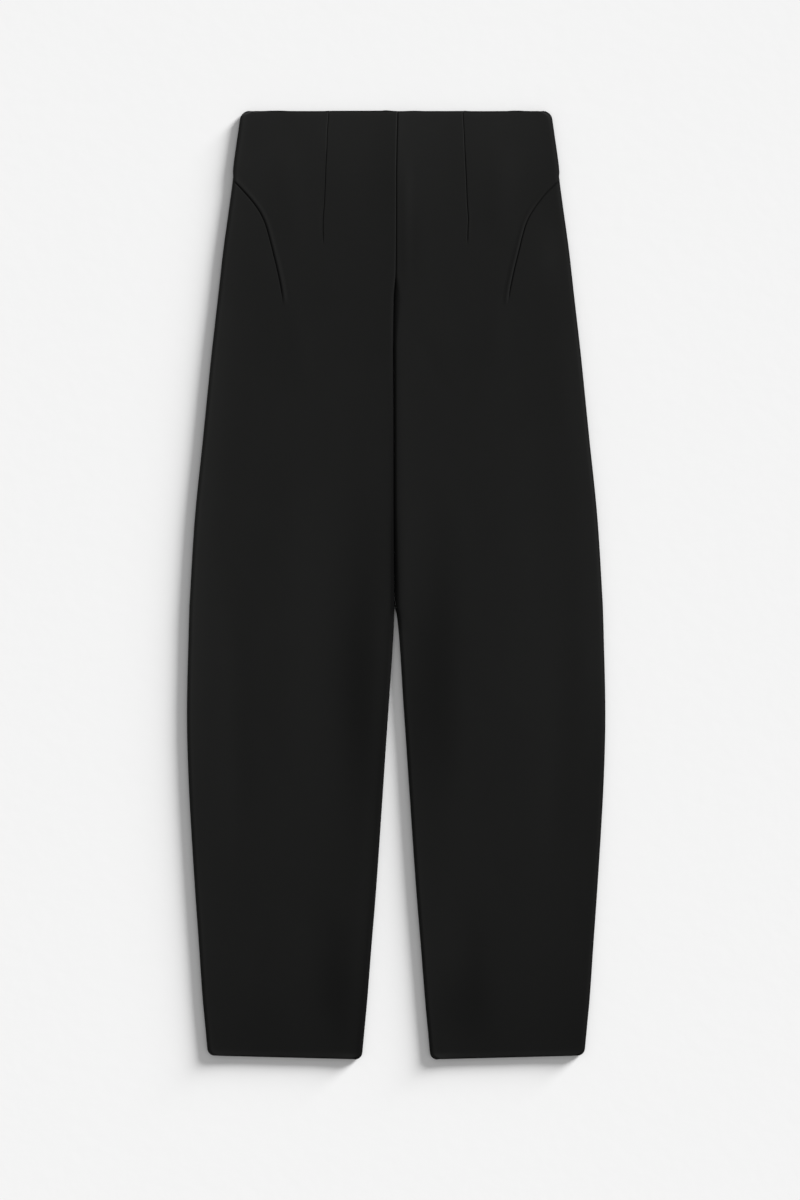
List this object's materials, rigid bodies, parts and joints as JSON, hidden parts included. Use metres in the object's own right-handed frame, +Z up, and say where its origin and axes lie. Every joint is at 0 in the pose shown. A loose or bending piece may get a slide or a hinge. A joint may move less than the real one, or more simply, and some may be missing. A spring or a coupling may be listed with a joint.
{
  "type": "wide-leg trousers",
  "caption": "Barrel-cut wide-leg trousers laid flat, front up, with pressed front darts and curved hip darts, no waistband and plain turned hems.",
  "frame": {"origin": "centre of the trousers' outline on the surface they lie on", "axes": "+Y from the hems towards the waist, +X towards the trousers' own left side, +Z up out of the front"},
  "size_m": [0.4688, 1.0632, 0.0071],
  "materials": {
    "front_left": "smooth matte black crepe suiting",
    "front_right": "smooth matte black crepe suiting",
    "back_left": "smooth matte black crepe suiting",
    "back_right": "smooth matte black crepe suiting"
  },
  "bodies": {
    "root": {"front_left": "front_left", "front_right": "front_right", "back_left": "back_left", "back_right": "back_right"}
  },
  "joints": []
}
